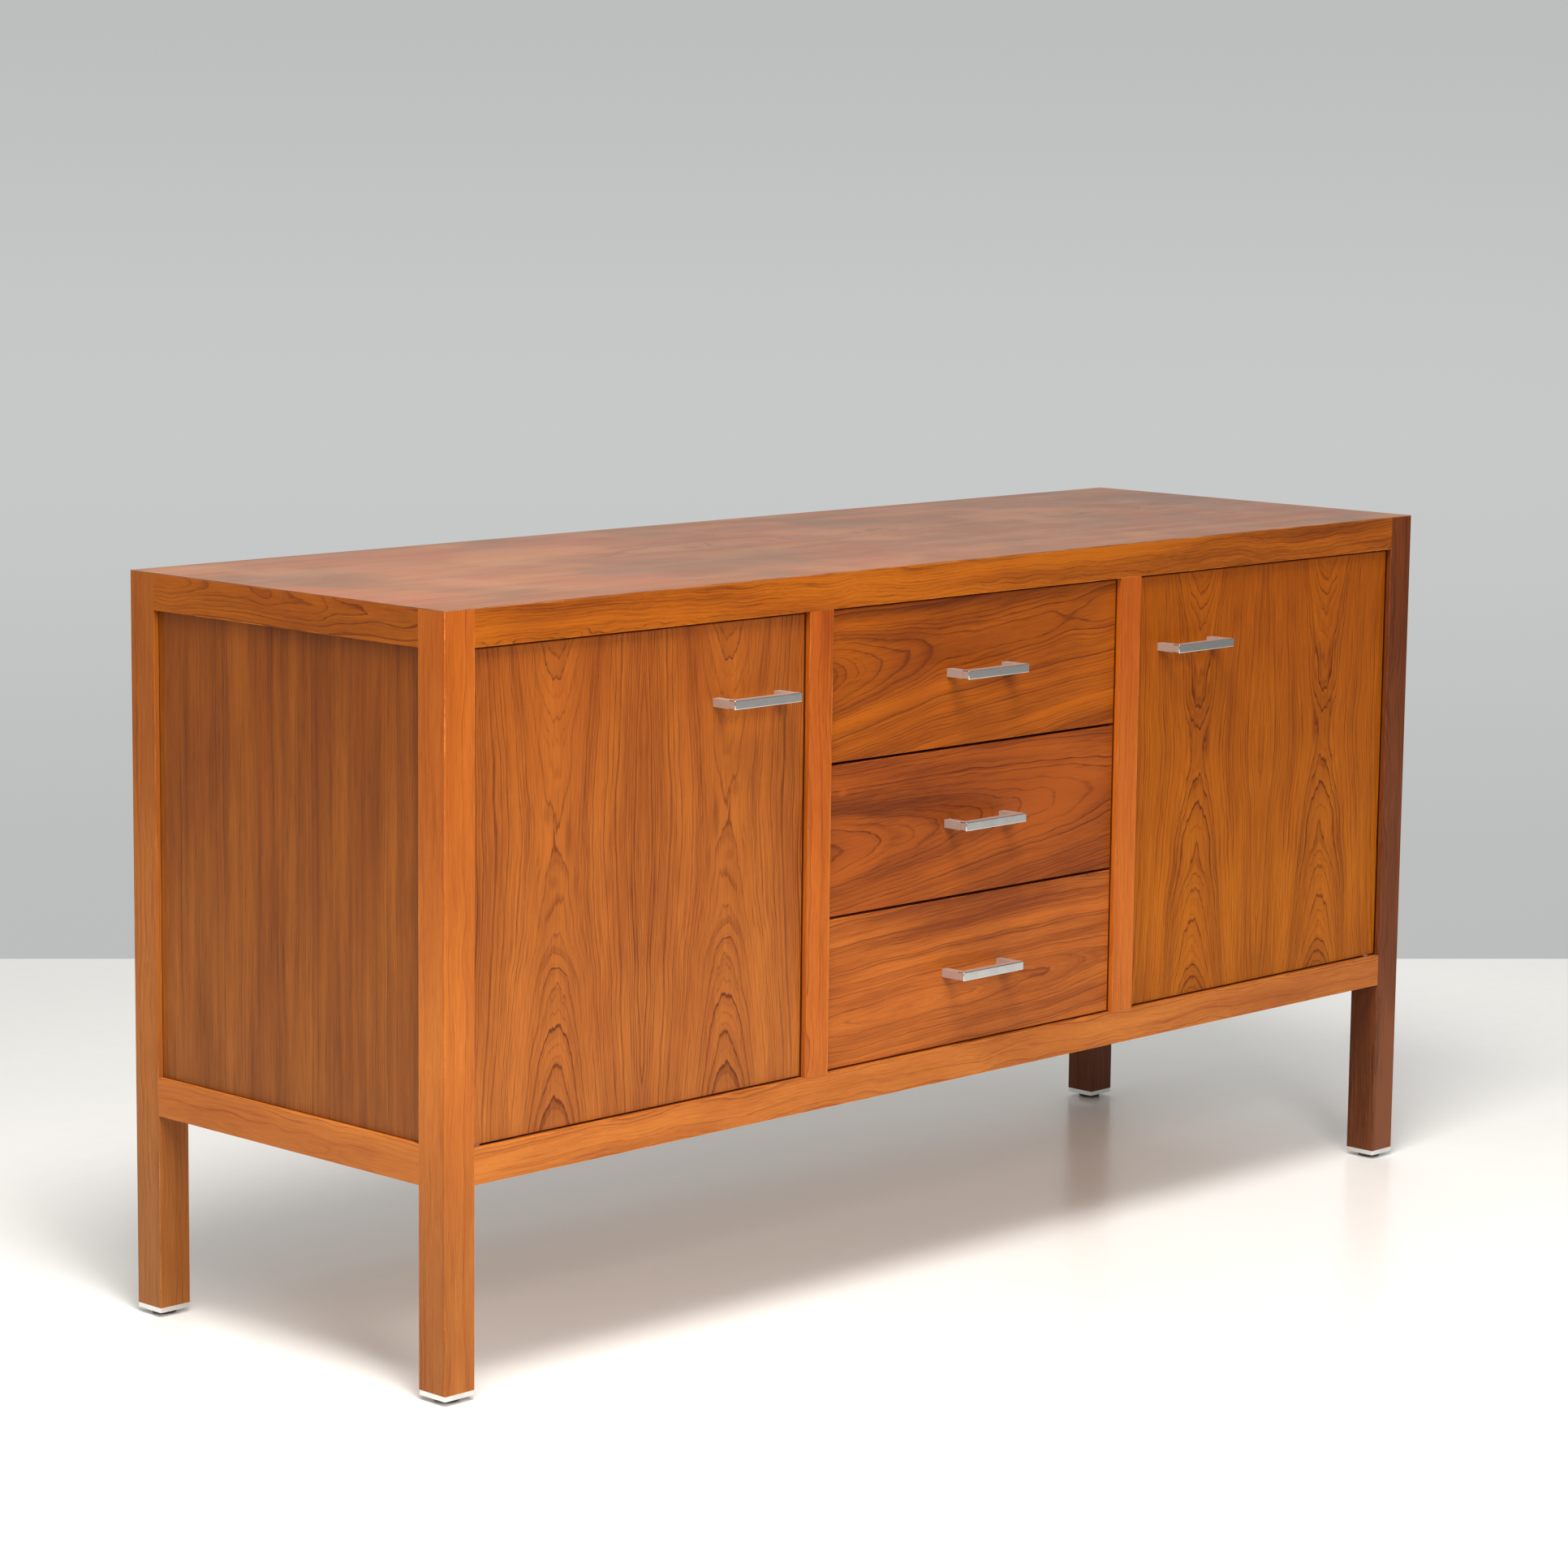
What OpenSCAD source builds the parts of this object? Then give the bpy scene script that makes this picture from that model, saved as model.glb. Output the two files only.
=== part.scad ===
// Sideboard buffet: a post-and-rail case on square legs, with two doors and three drawers.
// Millimetres, +Z up, the front faces -Y. The origin is on the floor, in the middle of the
// footprint of the whole object, pulls included.

/* [Case] */
// Overall width of the case
case_w = 1524; // [1300:1:1800]
// Depth of the case, without the pulls
case_d = 480; // [440:1:560]
// Height from the floor to the top
case_h = 775; // [720:1:850]
// Height of the bottom rails' undersides above the floor
leg_h = 214; // [150:1:240]
// How far doors, drawer fronts and panels stand back from the frame's outer faces
recess = 6; // [4:1:8]

/* [Frame] */
// Side of the square posts
post_w = 38; // [36:1:44]
// Height of the top rails, with the veneer on top of them
top_rail_h = 38; // [34:1:50]
// Height of the front and back bottom rails
bottom_rail_h = 36; // [30:1:44]
// Height of the side bottom rails
side_rail_h = 40; // [36:1:46]
// Thickness of the side and back rails
rail_t = 22; // [20:1:24]
// Width of the two mullions between the bays
mullion_w = 34; // [30:1:40]

/* [Boards] */
// Thickness of the top, the bottom and the partitions
board_t = 18; // [16:1:20]
// Thickness of the side and back panels
panel_t = 9; // [8:1:10]
// Thickness of the veneer sheet on the top
veneer_t = 1; // [0.6:0.1:2]
// Thickness of the shelves
shelf_t = 16; // [14:1:20]
// Height of the shelves' undersides above the bottom panel
shelf_rise = 235; // [150:1:300]

/* [Doors and drawers] */
// Thickness of the doors and drawer fronts
front_t = 18; // [16:1:20]
// Gap round the doors and the stack of drawers
reveal = 2; // [2:0.1:3]
// Gap between two drawer fronts
drawer_gap = 3; // [2:0.5:4]
// Height of the drawer boxes
box_h = 120; // [100:1:125]
// Thickness of the drawer sides and backs
side_t = 12; // [10:1:13]
// Free space behind the drawer boxes
drawer_back_gap = 21; // [15:1:60]

/* [Pulls] */
// Length of a pull
pull_l = 97; // [80:1:130]
// Side of the square bar
pull_bar = 9.5; // [8:0.5:12]
// Reach of a pull from the face it stands on
pull_reach = 32; // [28:1:40]
// From a door's free edge to the near end of its pull
pull_inset = 35.5; // [20:0.5:60]
// From a door's top edge down to the middle of its pull
pull_drop = 80; // [50:1:120]

/* [Feet] */
// Thickness of the metal plate under each leg
plate_t = 5; // [3:1:8]
// Height of the glide under each plate
glide_h = 5; // [3:1:8]

/* [Hidden] */
$fn = 48;

// Colours
post_c = "#c7702f";
rail_c = "#c27a35";
panel_c = "#7d4524";
door_c = "#b5662c";
drawer_c = "#a9561f";
top_c = "#b98a6c";
inner_c = "#d9b98c";
metal_c = "#c9ccd0";
steel_c = "#8f9296";
glide_c = "#3b3a38";

// Outer faces of the case
half_w = case_w / 2;
front_y = (pull_reach - recess - case_d) / 2;
back_y = front_y + case_d;
wood_z = plate_t + glide_h;
rail_top_z = case_h - veneer_t;
head_z = case_h - top_rail_h;
floor_z = leg_h + bottom_rail_h;
board_z = rail_top_z - board_t;
post_in = half_w - post_w;
arris = 1;

// Joints of the frame
tenon_l = 16;
tenon_t = 10;
shoulder = 6;
groove = 6;
mullion_tenon_l = 12;
mullion_tenon_w = 20;

// Bays
bay_w = (case_w - 2 * post_w - 2 * mullion_w) / 3;
bay_in = bay_w / 2;
bay_out = bay_in + mullion_w;
inner_back_y = back_y - recess - panel_t;
rail_back_y = front_y + post_w;

// Doors and drawer fronts
face_y = front_y + recess;
inside_y = face_y + front_t;
front_w = bay_w - 2 * reveal;
door_h = head_z - floor_z - 2 * reveal;
door_edge = bay_out + reveal;
drawer_h = (door_h - 2 * drawer_gap) / 3;
ease = 0.6;

// Pivot hinges: the pin stands back from the door's hinge edge and from its face
pin_r = 2;
pin_play = 0.05;
pin_in = 7;
pin_edge = 10;
pin_face = 6;
pin_x = post_in - reveal - pin_edge;
pin_y = face_y + pin_face;
leaf_t = 2;
leaf_w = 9;
leaf_l = 46;
leaf_screws = [18, 36];
washer_t = reveal - 0.1;

// Drawer boxes
box_end = inner_back_y - drawer_back_gap;
box_lift = 14;
floor_t = 6;
floor_lift = 8;
floor_in = 5;
tails = 4;
tail_root = 16;
tail_l = 12;
tail_tip = tail_root + 2 * tail_l * tan(8);
runner_t = 8;
runner_h = 15;
runner_lift = 60;
runner_play = 0.3;
runner_y = front_y + 32;
runner_end = box_end - 14;
slot_in = runner_t - reveal + 0.4;

// Shelves
shelf_z = floor_z + shelf_rise;
shelf_y = front_y + 60;
shelf_end = back_y - post_w - 4;
shelf_play = 2;
peg_r = 2.5;
peg_l = 7;
peg_head_r = 3.5;
peg_head_l = 10;
peg_inset = 40;

// Glides and their stems
glide_r = 13;
stem_r = 3;
stem_l = 40;

// Pulls and their machine screws
pull_ease = 1;
pull_x = door_edge + pull_inset + pull_l / 2;
pull_z = floor_z + reveal + door_h - pull_drop;
thread_r = 2;
thread_l = 12;
leg_x = pull_l / 2 - pull_bar / 2;

// Catches
catch_x = 300;
catch_l = 45;
catch_h = 14;
strike_t = 1.2;
catch_gap = 0.3;
catch_y = inside_y + strike_t + catch_gap;
catch_screws = [catch_x + 8, catch_x + catch_l - 8];
catch_screw_y = catch_y + 6;
catch_web = 5;

// Wood screws
screw_r = 1.5;
screw_head_r = 2.8;
screw_head_h = 1.9;
screw_l = 16;
runner_screw_inset = 20;
runner_screws = [rail_back_y + runner_screw_inset, (rail_back_y + runner_end) / 2,
                 runner_end - runner_screw_inset];

// A box given by its limits along each axis
module span(x, y, z) {
    translate([x[0], y[0], z[0]]) cube([x[1] - x[0], y[1] - y[0], z[1] - z[0]]);
}

// Both sides of the case
module both_sides() {
    children();
    mirror([1, 0, 0]) children();
}

// ---- Frame ----

// A rail along X from the origin, with a stub tenon at each end
module tenoned(length, thick, height) {
    cube([length, thick, height]);
    translate([-tenon_l, (thick - tenon_t) / 2, shoulder])
        cube([length + 2 * tenon_l, tenon_t, height - 2 * shoulder]);
}

module rail_front_blank(z, h) {
    translate([-post_in, front_y, z]) tenoned(2 * post_in, post_w, h);
}

module rail_back_blank(z, h) {
    translate([-post_in, back_y - rail_t, z]) tenoned(2 * post_in, rail_t, h);
}

module rail_left_blank(z, h) {
    translate([rail_t - half_w, rail_back_y, z])
        rotate([0, 0, 90]) tenoned(case_d - 2 * post_w, rail_t, h);
}

module rail_blanks() {
    upper_h = rail_top_z - head_z;
    rail_front_blank(head_z, upper_h);
    rail_front_blank(leg_h, bottom_rail_h);
    rail_back_blank(head_z, upper_h);
    rail_back_blank(leg_h, bottom_rail_h);
    both_sides() {
        rail_left_blank(head_z, upper_h);
        rail_left_blank(leg_h, side_rail_h);
    }
}

// The four squares where the posts stand, as cutters
module post_squares() {
    both_sides() {
        span([-half_w, -post_in], [front_y, rail_back_y], [wood_z, case_h + 1]);
        span([-half_w, -post_in], [back_y - post_w, back_y], [wood_z, case_h + 1]);
    }
}

// The front or back post on the left, with its outer arris eased
module post_left(front) {
    corner_y = front ? front_y : back_y;
    outline = [[arris, 0], [post_w, 0], [post_w, post_w], [0, post_w], [0, arris]];
    color(post_c) difference() {
        translate([-half_w, corner_y, wood_z]) facing(front)
            linear_extrude(rail_top_z - wood_z) polygon(outline);
        rail_blanks();
        side_panel_blank();
        back_panel_blank();
        foot_stems();
    }
}

// Turns a piece that faces the front to face the back, unless front is true
module facing(front) {
    if (front) children();
    else mirror([0, 1, 0]) children();
}

module mullion_blank() {
    x_mid = (bay_in + bay_out) / 2;
    tenon_y = front_y + (post_w - tenon_t) / 2;
    span([bay_in, bay_out], [front_y, rail_back_y], [floor_z, head_z]);
    span([x_mid - mullion_tenon_w / 2, x_mid + mullion_tenon_w / 2],
         [tenon_y, tenon_y + tenon_t],
         [floor_z - mullion_tenon_l, head_z + mullion_tenon_l]);
}

module mullion_left() {
    color(post_c) mirror([1, 0, 0]) mullion_blank();
}

module mullion_right() {
    color(post_c) mullion_blank();
}

module rail_front_top() {
    color(rail_c) difference() {
        rail_front_blank(head_z, rail_top_z - head_z);
        top_board_blank();
        both_sides() mullion_blank();
        case_leaf_blanks();
        case_screw_blanks();
    }
}

module rail_front_bottom() {
    color(rail_c) difference() {
        rail_front_blank(leg_h, bottom_rail_h);
        bottom_panel_blank();
        both_sides() mullion_blank();
        case_leaf_blanks();
        case_screw_blanks();
    }
}

module rail_back_top() {
    color(rail_c) difference() {
        rail_back_blank(head_z, rail_top_z - head_z);
        top_board_blank();
        back_panel_blank();
    }
}

module rail_back_bottom() {
    color(rail_c) difference() {
        rail_back_blank(leg_h, bottom_rail_h);
        bottom_panel_blank();
        back_panel_blank();
    }
}

module rail_left_top() {
    color(rail_c) difference() {
        rail_left_blank(head_z, rail_top_z - head_z);
        top_board_blank();
        side_panel_blank();
    }
}

module rail_left_bottom() {
    color(rail_c) difference() {
        rail_left_blank(leg_h, side_rail_h);
        bottom_panel_blank();
        side_panel_blank();
    }
}

// ---- Boards and panels ----

// A board that reaches into the rails' grooves on all four sides, notched round the posts
module housed_board(z, t) {
    x = half_w - rail_t + groove;
    difference() {
        span([-x, x], [rail_back_y - groove, back_y - rail_t + groove], [z, z + t]);
        post_squares();
    }
}

module top_board_blank() {
    housed_board(board_z, board_t);
}

module bottom_panel_blank() {
    housed_board(floor_z - board_t, board_t);
}

module side_panel_blank() {
    span([-half_w + recess, -half_w + recess + panel_t],
         [rail_back_y - groove, back_y - post_w + groove],
         [leg_h + side_rail_h - groove, head_z + groove]);
}

module back_panel_blank() {
    span([-post_in - groove, post_in + groove], [inner_back_y, back_y - recess],
         [floor_z - groove, head_z + groove]);
}

module top_board() {
    color(inner_c) top_board_blank();
}

module bottom_panel() {
    color(panel_c) bottom_panel_blank();
}

// One sheet over rails, posts and board, with its corners eased like the posts
module top_veneer() {
    in_x = half_w - arris;
    in_y = [front_y + arris, back_y - arris];
    outline = [
        [-in_x, front_y], [in_x, front_y], [half_w, in_y[0]], [half_w, in_y[1]],
        [in_x, back_y], [-in_x, back_y], [-half_w, in_y[1]], [-half_w, in_y[0]]
    ];
    color(top_c) translate([0, 0, rail_top_z]) linear_extrude(veneer_t) polygon(outline);
}

module side_panel_left() {
    color(panel_c) difference() {
        side_panel_blank();
        shelf_peg_blanks();
    }
}

module back_panel() {
    color(panel_c) back_panel_blank();
}

// Stands behind a mullion, flush with its drawer side, and is notched round the back top rail
module partition_left() {
    color(inner_c) difference() {
        span([-bay_in - board_t, -bay_in], [rail_back_y, inner_back_y], [floor_z, board_z]);
        rail_back_blank(head_z, rail_top_z - head_z);
        shelf_peg_blanks();
        case_screw_blanks();
    }
}

module shelf_left() {
    x_out = half_w - recess - panel_t - shelf_play;
    x_in = bay_in + board_t + shelf_play;
    color(door_c) span([-x_out, -x_in], [shelf_y, shelf_end], [shelf_z, shelf_z + shelf_t]);
}

// One shelf pin along +X, its shoulder at the origin
module shelf_peg() {
    rotate([0, 90, 0]) {
        translate([0, 0, -peg_l]) cylinder(r = peg_r, h = peg_l);
        cylinder(r = peg_head_r, h = peg_head_l);
    }
}

module shelf_peg_blanks() {
    both_sides()
        for (y = [shelf_y + peg_inset, shelf_end - peg_inset]) {
            translate([-half_w + recess + panel_t, y, shelf_z - peg_head_r]) shelf_peg();
            translate([-bay_in - board_t, y, shelf_z - peg_head_r])
                mirror([1, 0, 0]) shelf_peg();
        }
}

module shelf_pins() {
    color(steel_c) shelf_peg_blanks();
}

// ---- Feet ----

// The glides' stems, which go up through the plates into the legs
module foot_stems() {
    foot_places() cylinder(r = stem_r, h = stem_l);
}

module foot_places() {
    for (x = [-1, 1])
        for (y = [front_y + post_w / 2, back_y - post_w / 2])
            translate([x * (half_w - post_w / 2), y, 0]) children();
}

module foot_plates() {
    h = post_w / 2;
    c = arris;
    outline = [[c - h, -h], [h - c, -h], [h, c - h], [h, h - c], [h - c, h], [c - h, h],
               [-h, h - c], [-h, c - h]];
    color(metal_c) difference() {
        foot_places() translate([0, 0, glide_h]) linear_extrude(plate_t) polygon(outline);
        foot_stems();
    }
}

module foot_glides() {
    r = glide_r;
    outline = [[0, 0], [r - 2, 0], [r - 0.8, 0.5], [r, 1.8], [r, glide_h], [stem_r, glide_h],
               [stem_r, stem_l], [0, stem_l]];
    color(glide_c) foot_places() rotate_extrude() polygon(outline);
}

// ---- Screws ----

// A countersunk wood screw that points down, its head's top at the origin
module wood_screw(slotted) {
    outline = [[0, 0], [screw_head_r, 0], [screw_r, -screw_head_h], [screw_r, 4 - screw_l],
               [0, -screw_l]];
    difference() {
        rotate_extrude($fn = 24) polygon(outline);
        if (slotted) translate([-screw_head_r, -0.4, -0.7]) cube([2 * screw_head_r, 0.8, 1]);
    }
}

// Screws of the case's hinge leaves, the runners and the catches
module case_screw_places() {
    both_sides() {
        for (d = leaf_screws) {
            translate([d - pin_x, pin_y, head_z]) mirror([0, 0, 1]) children();
            translate([d - pin_x, pin_y, floor_z]) children();
        }
        for (i = [0:2])
            for (y = runner_screws)
                translate([-bay_in + runner_t, y, runner_z(i)]) rotate([0, 90, 0]) children();
        for (x = catch_screws)
            translate([-x, catch_screw_y, head_z - catch_web]) mirror([0, 0, 1]) children();
    }
}

module case_screw_blanks() {
    case_screw_places() wood_screw(false);
}

module case_screws() {
    color(steel_c) case_screw_places() wood_screw(true);
}

// ---- Hinges ----

// A leaf in the XY plane from its top face down, with its eye at the origin and its arm
// along +X
module leaf_blank() {
    translate([0, 0, -leaf_t]) {
        cylinder(r = leaf_w / 2, h = leaf_t);
        translate([0, -leaf_w / 2, 0]) cube([leaf_l, leaf_w, leaf_t]);
    }
}

module leaf_with_screw_holes() {
    difference() {
        leaf_blank();
        for (d = leaf_screws) translate([d, 0, 0]) wood_screw(false);
    }
}

module case_leaf_places() {
    both_sides() {
        translate([-pin_x, pin_y, floor_z]) children();
        translate([-pin_x, pin_y, head_z]) mirror([0, 0, 1]) children();
    }
}

module case_leaf_blanks() {
    case_leaf_places() leaf_blank();
}

// The pin is riveted into the case's leaf
module hinge_leaves_case() {
    color(steel_c) case_leaf_places() {
        leaf_with_screw_holes();
        translate([0, 0, -leaf_t]) cylinder(r = pin_r, h = 2 * leaf_t + reveal + pin_in);
    }
}

module hinge_washers() {
    color(steel_c) both_sides() translate([-pin_x, pin_y, floor_z]) difference() {
        cylinder(r = leaf_w / 2, h = washer_t);
        translate([0, 0, -1]) cylinder(r = pin_r + pin_play, h = washer_t + 2);
    }
}

module door_leaf_places() {
    translate([-pin_x, pin_y, floor_z + reveal]) mirror([0, 0, 1]) children();
    translate([-pin_x, pin_y, head_z - reveal]) children();
}

module door_leaves() {
    color(steel_c) difference() {
        door_leaf_places() leaf_with_screw_holes();
        translate([-pin_x, pin_y, floor_z])
            cylinder(r = pin_r + pin_play, h = head_z - floor_z);
    }
}

// ---- Pulls ----

// A square-bar pull on a face at y = 0, centred on the origin, with eased front edges
module pull() {
    l = pull_l / 2;
    s = pull_bar;
    r = pull_reach;
    c = pull_ease;
    plan = [[-l, 0], [-l, c - r], [c - l, -r], [l - c, -r], [l, c - r], [l, 0], [l - s, 0],
            [l - s, s - r], [s - l, s - r], [s - l, 0]];
    profile = [[0, -s / 2], [c - r, -s / 2], [-r, c - s / 2], [-r, s / 2 - c], [c - r, s / 2],
               [0, s / 2]];
    color(metal_c) difference() {
        intersection() {
            linear_extrude(s, center = true) polygon(plan);
            rotate([90, 0, 90]) linear_extrude(pull_l, center = true) polygon(profile);
        }
        for (x = [-leg_x, leg_x])
            translate([x, 0, 0]) rotate([90, 0, 0])
                cylinder(r = thread_r, h = 2 * thread_l, center = true);
    }
}

// The pull's two machine screws, their heads inside
module pull_screws() {
    head_r = 4;
    head_h = 2.6;
    for (x = [-leg_x, leg_x])
        translate([x, 0, 0]) rotate([-90, 0, 0]) difference() {
            union() {
                translate([0, 0, -thread_l]) cylinder(r = thread_r, h = front_t + thread_l);
                translate([0, 0, front_t]) cylinder(r = head_r, h = head_h);
            }
            translate([-head_r, -0.5, front_t + head_h - 1.2]) cube([2 * head_r, 1, 2]);
        }
}

module pull_screw_holes() {
    for (x = [-leg_x, leg_x])
        translate([x, -1, 0]) rotate([-90, 0, 0])
            cylinder(r = thread_r + 0.2, h = front_t + 2);
}

// ---- Doors ----

// A board in the XZ plane whose face's edges are eased, its lower left corner at the origin
module eased_board(w, h) {
    t = front_t;
    c = ease;
    intersection() {
        linear_extrude(h)
            polygon([[0, t], [0, c], [c, 0], [w - c, 0], [w, c], [w, t]]);
        rotate([90, 0, 90]) linear_extrude(w)
            polygon([[t, 0], [c, 0], [0, c], [0, h - c], [c, h], [t, h]]);
    }
}

module left_door() {
    color(door_c) difference() {
        translate([-post_in + reveal, face_y, floor_z + reveal]) eased_board(front_w, door_h);
        door_leaf_places() {
            leaf_blank();
            for (d = leaf_screws) translate([d, 0, 0]) wood_screw(false);
            translate([0, 0, -leaf_t - pin_in - 1]) cylinder(r = pin_r + 0.5, h = pin_in + 1);
        }
        translate([-pull_x, face_y, pull_z]) pull_screw_holes();
    }
}

// Screws of the left door's leaves and of its pull
module left_door_screws() {
    color(steel_c) {
        door_leaf_places() for (d = leaf_screws) translate([d, 0, 0]) wood_screw(true);
        translate([-pull_x, face_y, pull_z]) pull_screws();
    }
}

module left_door_pull() {
    translate([-pull_x, face_y, pull_z]) pull();
}

module left_door_strike() {
    color(steel_c)
        span([-catch_x - catch_l, -catch_x], [inside_y, inside_y + strike_t],
             [head_z - catch_h, head_z - reveal]);
}

// Magnetic catches under the front top rail, behind the doors
module door_catches() {
    color(glide_c) difference() {
        both_sides()
            span([-catch_x - catch_l, -catch_x], [catch_y, rail_back_y],
                 [head_z - catch_h, head_z]);
        case_screw_blanks();
        both_sides()
            for (x = catch_screws)
                translate([-x, catch_screw_y, head_z - catch_h - 1])
                    cylinder(r = screw_head_r + 0.2, h = catch_h - catch_web + 1);
    }
}

// ---- Drawers, numbered from 0 at the bottom ----

function drawer_z(i) = floor_z + reveal + i * (drawer_h + drawer_gap);
function box_z(i) = drawer_z(i) + box_lift;
function runner_z(i) = box_z(i) + runner_lift;
function backwards(list) = [for (i = [len(list) - 1:-1:0]) list[i]];
// One end's dovetails, from the bottom up, on a shoulder at y, reaching out by reach
function tail_points(y, reach) = [
    for (i = [0:tails - 1])
        for (p = [[0, -tail_root], [reach, -tail_tip], [reach, tail_tip], [0, tail_root]])
            [y + p[0], (i + 0.5) * box_h / tails + p[1] / 2]];

module drawer_side_blank(i) {
    tail_y = box_end - side_t;
    outline = concat(
        [[inside_y, 0]], tail_points(inside_y, -tail_l),
        [[inside_y, box_h], [tail_y, box_h]], backwards(tail_points(tail_y, side_t)),
        [[tail_y, 0]]);
    translate([-front_w / 2, 0, box_z(i)])
        rotate([90, 0, 90]) linear_extrude(side_t) polygon(outline);
}

module drawer_floor_blank(i) {
    x = front_w / 2 - side_t + floor_in;
    z = box_z(i) + floor_lift;
    span([-x, x], [inside_y - groove, box_end], [z, z + floor_t]);
}

// The slot that the runner fills, open at the back and stopped at the front
module runner_slot(i) {
    z = runner_z(i);
    h = runner_h / 2 + runner_play;
    both_sides()
        span([-front_w / 2 - 1, -front_w / 2 + slot_in], [runner_y - 1, box_end + 1],
             [z - h, z + h]);
}

module drawer_front(i) {
    color(drawer_c) difference() {
        translate([-front_w / 2, face_y, drawer_z(i)]) eased_board(front_w, drawer_h);
        both_sides() drawer_side_blank(i);
        drawer_floor_blank(i);
        translate([0, face_y, pull_height(i)]) pull_screw_holes();
    }
}

module drawer_sides(i) {
    color(inner_c) difference() {
        both_sides() drawer_side_blank(i);
        drawer_floor_blank(i);
        runner_slot(i);
    }
}

module drawer_back(i) {
    z = box_z(i);
    color(inner_c) difference() {
        span([-front_w / 2, front_w / 2], [box_end - side_t, box_end],
             [z + floor_lift + floor_t, z + box_h]);
        both_sides() drawer_side_blank(i);
        runner_slot(i);
    }
}

module drawer_floor(i) {
    color(inner_c) drawer_floor_blank(i);
}

function pull_height(i) = drawer_z(i) + drawer_h / 2;

module drawer_screws(i) {
    color(steel_c) translate([0, face_y, pull_height(i)]) pull_screws();
}

module drawer_pull(i) {
    translate([0, face_y, pull_height(i)]) pull();
}

module drawer_runners() {
    color(inner_c) difference() {
        both_sides()
            for (i = [0:2])
                span([-bay_in, -bay_in + runner_t], [runner_y, runner_end],
                     [runner_z(i) - runner_h / 2, runner_z(i) + runner_h / 2]);
        case_screw_blanks();
    }
}

// ---- Nodes ----

module in_right() {
    mirror([1, 0, 0]) children();
}

post_left(true);  // post_front_left
in_right() post_left(true);  // post_front_right
post_left(false);  // post_back_left
in_right() post_left(false);  // post_back_right
rail_front_top();
rail_front_bottom();
rail_back_top();
rail_back_bottom();
rail_left_top();
rail_left_bottom();
in_right() rail_left_top();  // rail_right_top
in_right() rail_left_bottom();  // rail_right_bottom
mullion_left();
mullion_right();
partition_left();
in_right() partition_left();  // partition_right
top_board();
top_veneer();
bottom_panel();
side_panel_left();
in_right() side_panel_left();  // side_panel_right
back_panel();
shelf_left();
in_right() shelf_left();  // shelf_right
shelf_pins();
drawer_runners();
case_screws();
foot_plates();
foot_glides();
hinge_leaves_case();
hinge_washers();
door_catches();
left_door();
door_leaves();  // left_door_leaves
left_door_screws();
left_door_pull();
left_door_strike();
in_right() left_door();  // right_door
in_right() door_leaves();  // right_door_leaves
in_right() left_door_screws();  // right_door_screws
in_right() left_door_pull();  // right_door_pull
in_right() left_door_strike();  // right_door_strike
drawer_front(2);  // upper_drawer_front
drawer_sides(2);  // upper_drawer_sides
drawer_back(2);  // upper_drawer_back
drawer_floor(2);  // upper_drawer_floor
drawer_screws(2);  // upper_drawer_screws
drawer_pull(2);  // upper_drawer_pull
drawer_front(1);  // middle_drawer_front
drawer_sides(1);  // middle_drawer_sides
drawer_back(1);  // middle_drawer_back
drawer_floor(1);  // middle_drawer_floor
drawer_screws(1);  // middle_drawer_screws
drawer_pull(1);  // middle_drawer_pull
drawer_front(0);  // lower_drawer_front
drawer_sides(0);  // lower_drawer_sides
drawer_back(0);  // lower_drawer_back
drawer_floor(0);  // lower_drawer_floor
drawer_screws(0);  // lower_drawer_screws
drawer_pull(0);  // lower_drawer_pull
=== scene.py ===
"""A wooden sideboard buffet: materials, fine pieces, light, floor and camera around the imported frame."""

import math
from dataclasses import dataclass

import bmesh
import bpy
from mathutils import Euler, Matrix, Vector


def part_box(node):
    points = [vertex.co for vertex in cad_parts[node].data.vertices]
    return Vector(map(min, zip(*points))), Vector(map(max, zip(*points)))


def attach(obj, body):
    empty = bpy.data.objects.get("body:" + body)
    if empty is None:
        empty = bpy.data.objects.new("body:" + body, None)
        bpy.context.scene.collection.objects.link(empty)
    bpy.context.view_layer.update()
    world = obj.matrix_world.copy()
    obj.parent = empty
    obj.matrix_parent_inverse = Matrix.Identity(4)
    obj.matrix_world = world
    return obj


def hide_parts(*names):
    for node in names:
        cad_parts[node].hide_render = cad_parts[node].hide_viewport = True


# ---------------------------------------------------------------- camera, floor and room

# Lengths in metres, angles in degrees, colours in linear light.
CAMERA_PLACE = (-3.544, -3.366, 1.260)
CAMERA_AZIMUTH = -45.94
CAMERA_ELEVATION = 8.78
CAMERA_ROLL = 0.64
CAMERA_LENS_MM = 102.67
CAMERA_SENSOR_MM = 36.0

FLOOR_REACH = 40.0
FLOOR_END = 6.46
FLOOR_END_AZIMUTH = -42.6
FLOOR_COLOUR = (0.86, 0.84, 0.81)
FLOOR_FAR_SHADE_COLOUR = (0.32, 0.32, 0.32)
ROOM_COLOUR = (0.50, 0.515, 0.51)
ROOM_GLOW_COLOUR = (0.57, 0.585, 0.58)
ROOM_DIM_COLOUR = (0.27, 0.275, 0.28)
ROOM_BACK = (-0.55, 0.83)
ROOM_DIM_EDGE = (-0.85, 0.05)
ROOM_GLOW_HEIGHT = -0.075
ROOM_GLOW_REACH = 0.11
FLOOR_FAR_SHADE_EDGE = (4.2, 6.2)
FLOOR_CLOUD_SCALE = 0.8
FLOOR_GRIT_SCALE = 30.0
FLOOR_GREY_SHARE = 0.94
FLOOR_ROUGHNESS = 0.24
FLOOR_SPECULAR = 0.4
WARM_WHITE = (1.0, 0.98, 0.95)
WHITE = (1.0, 1.0, 1.0)

# ---------------------------------------------------------------- wood tones, linear light


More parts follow.
